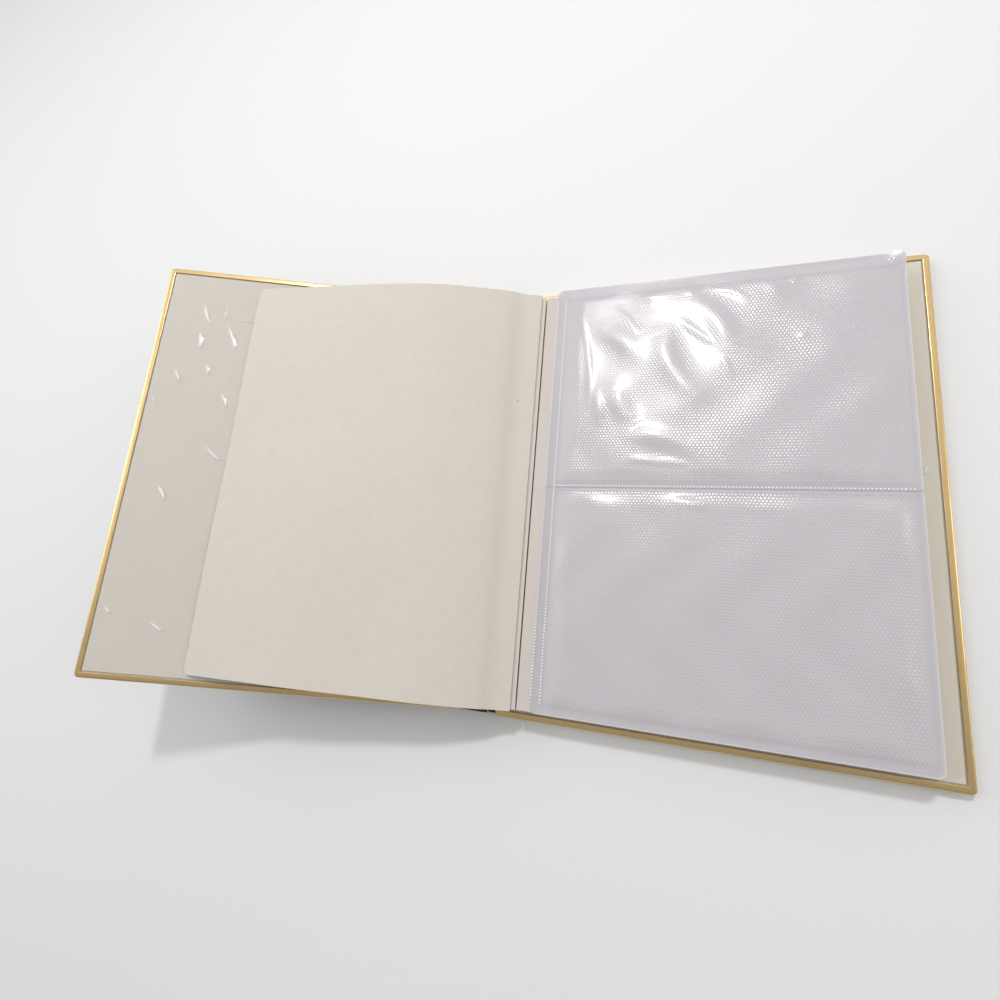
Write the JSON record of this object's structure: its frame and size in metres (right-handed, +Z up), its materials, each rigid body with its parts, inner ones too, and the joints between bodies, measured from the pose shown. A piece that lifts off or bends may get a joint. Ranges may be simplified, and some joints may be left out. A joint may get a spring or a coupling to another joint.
{
  "type": "photo album",
  "caption": "Photo album lying open: metal-edged hinged covers, a turned paper flyleaf, and clear two-pocket leaves that turn and let their prints slide out.",
  "frame": {"origin": "middle of the open album's length and height, on the surface it lies on", "axes": "+X across the open spread from the front cover to the back cover, +Y along the spine towards the head, +Z up"},
  "size_m": [0.4026, 0.236, 0.0742],
  "materials": {
    "gold_edge": "satin gold-tone metal",
    "board": "plain grey board",
    "covering": "grained leatherette",
    "lining": "smooth cream paper",
    "lining_film": "clear glossy film",
    "cream_paper": "matte cream paper",
    "sleeve_film": "clear dot-embossed film",
    "white_card": "smooth white card"
  },
  "bodies": {
    "back_cover": {"back_board": "board", "back_covering": "covering", "back_lining": "lining", "back_lining_film": "lining_film", "back_edge_frame": "gold_edge", "binding_block": "cream_paper", "binding_strip": "cream_paper"},
    "front_cover": {"front_board": "board", "front_covering": "covering", "front_lining": "lining", "front_lining_film": "lining_film", "front_edge_frame": "gold_edge"},
    "spine": {"spine_board": "board", "spine_covering": "covering", "spine_lining": "covering"},
    "flyleaf": {"flyleaf": "cream_paper"},
    "flyleaf_middle": {"flyleaf_middle": "cream_paper"},
    "flyleaf_outer": {"flyleaf_outer": "cream_paper"},
    "leaf_1": {"leaf_1_front_film": "sleeve_film", "leaf_1_back_film": "sleeve_film", "leaf_1_seams": "sleeve_film", "leaf_1_tab": "cream_paper"},
    "leaf_1_upper_card": {"leaf_1_upper_card": "white_card"},
    "leaf_1_lower_card": {"leaf_1_lower_card": "white_card"},
    "leaf_2": {"leaf_2_front_film": "sleeve_film", "leaf_2_back_film": "sleeve_film", "leaf_2_seams": "sleeve_film", "leaf_2_tab": "cream_paper"},
    "leaf_2_upper_card": {"leaf_2_upper_card": "white_card"},
    "leaf_2_lower_card": {"leaf_2_lower_card": "white_card"},
    "leaf_3": {"leaf_3_front_film": "sleeve_film", "leaf_3_back_film": "sleeve_film", "leaf_3_seams": "sleeve_film", "leaf_3_tab": "cream_paper"},
    "leaf_3_upper_card": {"leaf_3_upper_card": "white_card"},
    "leaf_3_lower_card": {"leaf_3_lower_card": "white_card"},
    "leaf_4": {"leaf_4_front_film": "sleeve_film", "leaf_4_back_film": "sleeve_film", "leaf_4_seams": "sleeve_film", "leaf_4_tab": "cream_paper"},
    "leaf_4_upper_card": {"leaf_4_upper_card": "white_card"},
    "leaf_4_lower_card": {"leaf_4_lower_card": "white_card"},
    "leaf_5": {"leaf_5_front_film": "sleeve_film", "leaf_5_back_film": "sleeve_film", "leaf_5_seams": "sleeve_film", "leaf_5_tab": "cream_paper"},
    "leaf_5_upper_card": {"leaf_5_upper_card": "white_card"},
    "leaf_5_lower_card": {"leaf_5_lower_card": "white_card"},
    "leaf_6": {"leaf_6_front_film": "sleeve_film", "leaf_6_back_film": "sleeve_film", "leaf_6_seams": "sleeve_film", "leaf_6_tab": "cream_paper"},
    "leaf_6_upper_card": {"leaf_6_upper_card": "white_card"},
    "leaf_6_lower_card": {"leaf_6_lower_card": "white_card"}
  },
  "joints": [
    {"name": "spine_fold", "type": "hinge", "parent": "back_cover", "child": "spine", "pos_m": [0.00445, 0, 0.00095], "axis": [0, -1, 0], "range_deg": [-90, 0]},
    {"name": "front_fold", "type": "hinge", "parent": "spine", "child": "front_cover", "pos_m": [-0.01695, 0, 0.00095], "axis": [0, -1, 0], "range_deg": [-69.21, 0]},
    {"name": "flyleaf_turn", "type": "hinge", "parent": "back_cover", "child": "flyleaf", "pos_m": [0.01705, 0, 0.01785], "axis": [0, -1, 0], "range_deg": [-159.17, 0]},
    {"name": "flyleaf_middle_bend", "type": "hinge", "parent": "flyleaf", "child": "flyleaf_middle", "pos_m": [-0.03013, 0, 0.03582], "axis": [0, -1, 0], "range_deg": [-7.99, 0]},
    {"name": "flyleaf_outer_bend", "type": "hinge", "parent": "flyleaf_middle", "child": "flyleaf_outer", "pos_m": [-0.06425, 0, 0.04362], "axis": [0, -1, 0], "range_deg": [-4.79, 0]},
    {"name": "leaf_1_turn", "type": "hinge", "parent": "back_cover", "child": "leaf_1", "pos_m": [0.0195, 0, 0.0173], "axis": [0, -1, 0], "range_deg": [0, 152]},
    {"name": "leaf_2_turn", "type": "hinge", "parent": "back_cover", "child": "leaf_2", "pos_m": [0.0195, 0, 0.0151], "axis": [0, -1, 0], "range_deg": [0, 85.01]},
    {"name": "leaf_3_turn", "type": "hinge", "parent": "back_cover", "child": "leaf_3", "pos_m": [0.0195, 0, 0.0129], "axis": [0, -1, 0], "range_deg": [0, 68.01]},
    {"name": "leaf_4_turn", "type": "hinge", "parent": "back_cover", "child": "leaf_4", "pos_m": [0.0195, 0, 0.0107], "axis": [0, -1, 0], "range_deg": [0, 51.01]},
    {"name": "leaf_5_turn", "type": "hinge", "parent": "back_cover", "child": "leaf_5", "pos_m": [0.0195, 0, 0.0085], "axis": [0, -1, 0], "range_deg": [0, 34.01]},
    {"name": "leaf_6_turn", "type": "hinge", "parent": "back_cover", "child": "leaf_6", "pos_m": [0.0195, 0, 0.0063], "axis": [0, -1, 0], "range_deg": [0, 17.01]},
    {"name": "leaf_1_upper_card_slide", "type": "slide", "parent": "leaf_1", "child": "leaf_1_upper_card", "axis": [1, 0, 0], "range_m": [0, 0.145]},
    {"name": "leaf_1_lower_card_slide", "type": "slide", "parent": "leaf_1", "child": "leaf_1_lower_card", "axis": [1, 0, 0], "range_m": [0, 0.145]},
    {"name": "leaf_2_upper_card_slide", "type": "slide", "parent": "leaf_2", "child": "leaf_2_upper_card", "axis": [1, 0, 0], "range_m": [0, 0.145]},
    {"name": "leaf_2_lower_card_slide", "type": "slide", "parent": "leaf_2", "child": "leaf_2_lower_card", "axis": [1, 0, 0], "range_m": [0, 0.145]},
    {"name": "leaf_3_upper_card_slide", "type": "slide", "parent": "leaf_3", "child": "leaf_3_upper_card", "axis": [1, 0, 0], "range_m": [0, 0.145]},
    {"name": "leaf_3_lower_card_slide", "type": "slide", "parent": "leaf_3", "child": "leaf_3_lower_card", "axis": [1, 0, 0], "range_m": [0, 0.145]},
    {"name": "leaf_4_upper_card_slide", "type": "slide", "parent": "leaf_4", "child": "leaf_4_upper_card", "axis": [1, 0, 0], "range_m": [0, 0.145]},
    {"name": "leaf_4_lower_card_slide", "type": "slide", "parent": "leaf_4", "child": "leaf_4_lower_card", "axis": [1, 0, 0], "range_m": [0, 0.145]},
    {"name": "leaf_5_upper_card_slide", "type": "slide", "parent": "leaf_5", "child": "leaf_5_upper_card", "axis": [1, 0, 0], "range_m": [0, 0.145]},
    {"name": "leaf_5_lower_card_slide", "type": "slide", "parent": "leaf_5", "child": "leaf_5_lower_card", "axis": [1, 0, 0], "range_m": [0, 0.145]},
    {"name": "leaf_6_upper_card_slide", "type": "slide", "parent": "leaf_6", "child": "leaf_6_upper_card", "axis": [1, 0, 0], "range_m": [0, 0.145]},
    {"name": "leaf_6_lower_card_slide", "type": "slide", "parent": "leaf_6", "child": "leaf_6_lower_card", "axis": [1, 0, 0], "range_m": [0, 0.145]}
  ],
  "couplings": [
    {"joint": "front_fold", "follows": "spine_fold", "ratio": 0.76889},
    {"joint": "flyleaf_turn", "follows": "spine_fold", "ratio": 1.7683},
    {"joint": "flyleaf_middle_bend", "follows": "spine_fold", "ratio": 0.088551},
    {"joint": "flyleaf_outer_bend", "follows": "spine_fold", "ratio": 0.052961},
    {"joint": "leaf_2_turn", "follows": "leaf_1_turn", "ratio": 0.55921},
    {"joint": "leaf_3_turn", "follows": "leaf_1_turn", "ratio": 0.44737},
    {"joint": "leaf_4_turn", "follows": "leaf_1_turn", "ratio": 0.33553},
    {"joint": "leaf_5_turn", "follows": "leaf_1_turn", "ratio": 0.22368},
    {"joint": "leaf_6_turn", "follows": "leaf_1_turn", "ratio": 0.11184}
  ]
}
